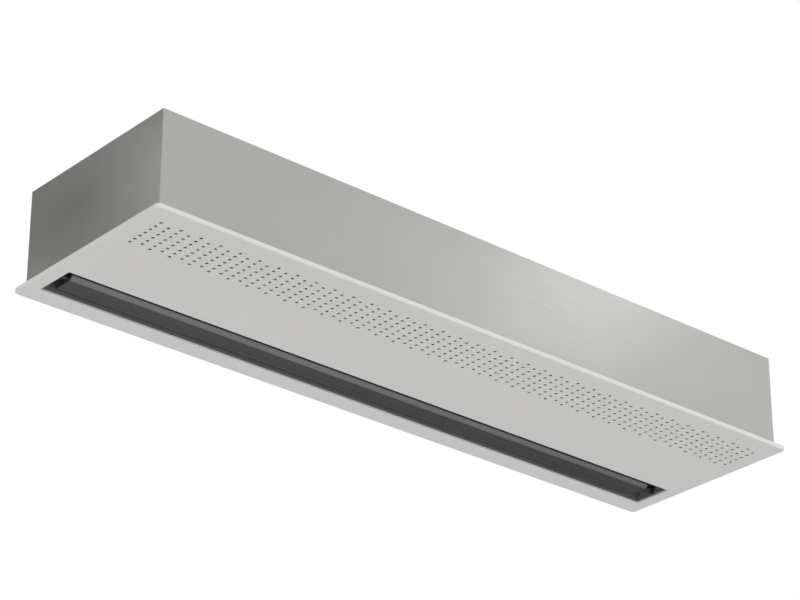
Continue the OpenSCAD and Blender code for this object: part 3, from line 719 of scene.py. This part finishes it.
def make_plate_rivets():
    """Four rivets hold each stiffening plate under the top sheet."""
    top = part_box("top_plate")[1][2]
    low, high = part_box("hanger_plates")
    places = []
    for x, y in corners(low, high, HANGER_L / 2, HANGER_W / 2):
        for dx in (-1, 1):
            for dy in (-1, 1):
                places.append((x + dx * (HANGER_L / 2 - RIVET_INSET),
                               y + dy * (HANGER_W / 2 - RIVET_INSET), top))
    make_fasteners("plate_rivets", rivet_rings(RIVET_R, RIVET_H), places, (0, 0, 1), "casing",
                   "zinc_steel")


def make_lid_screws():
    """A screw in each corner of the control box's lid."""
    low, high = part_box("control_box_lid")
    places = [(x, y, low[2]) for x, y in corners(low, high, LID_SCREW_INSET, LID_SCREW_INSET)]
    make_fasteners("lid_screws", screw_rings(SCREW_R, SCREW_H), places, (0, 0, -1), "casing",
                   "zinc_steel")


def make_spider_screws(number):
    """A screw in each foot of the motor's spider and four in its hub."""
    low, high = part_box("motor_spider_%d" % number)
    rotor_low, rotor_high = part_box("motor_rotor_%d" % number)
    y = (rotor_low[1] + rotor_high[1]) / 2
    z = (rotor_low[2] + rotor_high[2]) / 2
    places = []
    for i in range(SPIDER_ARMS):
        a = math.radians(SPIDER_ARM_ANGLE + 360 * i / SPIDER_ARMS)
        places.append((low[0] + SPIDER_T, y + SPIDER_FOOT_R * math.cos(a),
                       z + SPIDER_FOOT_R * math.sin(a)))
    for i in range(HUB_SCREWS):
        a = math.radians(HUB_SCREW_ANGLE + 360 * i / HUB_SCREWS)
        places.append((high[0], y + HUB_SCREW_R * math.cos(a), z + HUB_SCREW_R * math.sin(a)))
    make_fasteners("spider_screws_%d" % number, screw_rings(SMALL_SCREW_R, SMALL_SCREW_H), places,
                   (1, 0, 0), "casing", "zinc_steel")


make_fascia()
make_casing()
make_nozzle_and_vane()
make_plate_rivets()
make_lid_screws()
for fan in FAN_NUMBERS:
    make_scroll(fan)
    make_spider_screws(fan)


# Studio


def make_world():
    """Soft light that is brightest on the near side. The camera, reflections of the far side and
    clear pieces see white, and reflections of one side are dimmed."""
    world = bpy.data.worlds.new("studio")
    world.use_nodes = True
    tree = world.node_tree
    tree.nodes.clear()

    def add(kind, **values):
        node = tree.nodes.new(kind)
        for key, value in values.items():
            setattr(node, key, value)
        return node

    def towards(direction):
        """The cosine between a ray and a direction."""
        node = add("ShaderNodeVectorMath", operation="DOT_PRODUCT")
        node.inputs[1].default_value = direction
        tree.links.new(place.outputs["Generated"], node.inputs[0])
        return node.outputs["Value"]

    def ramp(value, edge, full, low, high):
        node = add("ShaderNodeMapRange", interpolation_type="SMOOTHSTEP")
        node.inputs["From Min"].default_value = edge
        node.inputs["From Max"].default_value = full
        node.inputs["To Min"].default_value = low
        node.inputs["To Max"].default_value = high
        tree.links.new(value, node.inputs["Value"])
        return node.outputs["Result"]

    def combined(operation, first, second):
        node = add("ShaderNodeMath", operation=operation)
        tree.links.new(first, node.inputs[0])
        tree.links.new(second, node.inputs[1])
        return node.outputs["Value"]

    def background(colour):
        node = add("ShaderNodeBackground")
        node.inputs["Color"].default_value = colour
        return node

    place = add("ShaderNodeTexCoord")
    rays = add("ShaderNodeLightPath").outputs
    level = add("ShaderNodeMath", operation="MULTIPLY_ADD")
    level.inputs[1].default_value = WORLD_SLOPE
    level.inputs[2].default_value = WORLD_LEVEL
    tree.links.new(towards(WORLD_BRIGHT_SIDE), level.inputs[0])
    shade = add("ShaderNodeMix", data_type="FLOAT")
    shade.inputs["A"].default_value = 1
    tree.links.new(rays["Is Glossy Ray"], shade.inputs["Factor"])
    tree.links.new(ramp(towards(FLAG_TOWARDS), FLAG_EDGE, FLAG_FULL, 1, FLAG_LEVEL),
                   shade.inputs["B"])
    soft = background(SOFT_WHITE)
    tree.links.new(combined("MULTIPLY", level.outputs["Value"], shade.outputs["Result"]),
                   soft.inputs["Strength"])
    backdrop = ramp(towards(BACKDROP_TOWARDS), BACKDROP_EDGE, BACKDROP_FULL, 0, 1)
    mirrored = combined("MULTIPLY", rays["Is Glossy Ray"], backdrop)
    direct = combined("MAXIMUM", rays["Is Camera Ray"], rays["Is Transmission Ray"])
    mix = add("ShaderNodeMixShader")
    tree.links.new(combined("MAXIMUM", direct, mirrored), mix.inputs["Fac"])
    tree.links.new(soft.outputs["Background"], mix.inputs[1])
    tree.links.new(background(WHITE).outputs["Background"], mix.inputs[2])
    out = add("ShaderNodeOutputWorld")
    tree.links.new(mix.outputs["Shader"], out.inputs["Surface"])
    bpy.context.scene.world = world


def make_floor():
    """A white floor far below, clear when it is looked through from underneath."""
    n = Nodes("floor_paint")

    def mixed(factor, first, second):
        node = n.add("ShaderNodeMixShader")
        n.link(factor, node.inputs["Fac"])
        n.link(first, node.inputs[1])
        n.link(second, node.inputs[2])
        return node.outputs["Shader"]

    n.colour(n.tint(n.span(n.noise(FLOOR_CLOUD_SCALE, CLOUD_DETAIL), 0, 1), *FLOOR_TONES))
    n.set(Roughness=FLOOR_ROUGHNESS, Emission_Color=SOFT_WHITE, Emission_Strength=FLOOR_GLOW)
    rays = n.add("ShaderNodeLightPath").outputs
    seen = n.add("ShaderNodeMath", operation="MAXIMUM")
    n.link(rays["Is Camera Ray"], seen.inputs[0])
    n.link(rays["Is Glossy Ray"], seen.inputs[1])
    white = n.add("ShaderNodeEmission").outputs["Emission"]
    paint = mixed(seen.outputs["Value"], n.shader.outputs["BSDF"], white)
    below = n.add("ShaderNodeNewGeometry").outputs["Backfacing"]
    clear = n.add("ShaderNodeBsdfTransparent").outputs["BSDF"]
    n.link(mixed(below, paint, clear), n.tree.nodes["Material Output"].inputs["Surface"])
    MATERIALS["floor_paint"] = n.material
    bm = bmesh.new()
    bmesh.ops.create_grid(bm, x_segments=FLOOR_SQUARES, y_segments=FLOOR_SQUARES,
                          size=FLOOR_SIZE / 2, matrix=Matrix.Translation(FLOOR_MIDDLE))
    finish_mesh(bm, "floor", "floor_paint")


def look_at(obj, target):
    direction = Vector(target) - obj.location
    obj.rotation_euler = direction.to_track_quat("-Z", "Y").to_euler()


def soft_lamp(name, place, target, size, power):
    light = bpy.data.lights.new(name, "AREA")
    light.shape = "RECTANGLE"
    light.size, light.size_y = size
    light.energy = power
    lamp = bpy.data.objects.new(name, light)
    lamp.location = place
    lamp.visible_camera = False
    look_at(lamp, target)
    bpy.context.scene.collection.objects.link(lamp)


def make_camera():
    data = bpy.data.cameras.new("camera")
    data.lens = LENS_MM
    data.sensor_width = SENSOR_MM
    data.clip_end = CAMERA_REACH
    camera = bpy.data.objects.new("camera", data)
    yaw = math.radians(CAMERA_YAW)
    pitch = math.radians(CAMERA_PITCH)
    ahead = Vector((math.sin(yaw) * math.cos(pitch), math.cos(yaw) * math.cos(pitch),
                    math.sin(pitch)))
    right = Vector((math.cos(yaw), -math.sin(yaw), 0))
    up = right.cross(ahead)
    turn = Matrix((right, up, -ahead)).transposed().to_4x4()
    camera.matrix_world = (Matrix.Translation(CAMERA_AT) @ turn
                           @ Matrix.Rotation(math.radians(CAMERA_ROLL), 4, "Z"))
    bpy.context.scene.collection.objects.link(camera)
    bpy.context.scene.camera = camera


make_world()
make_floor()
make_camera()
for lamp in LAMPS:
    soft_lamp(*lamp)
bpy.context.scene.view_settings.view_transform = "Standard"
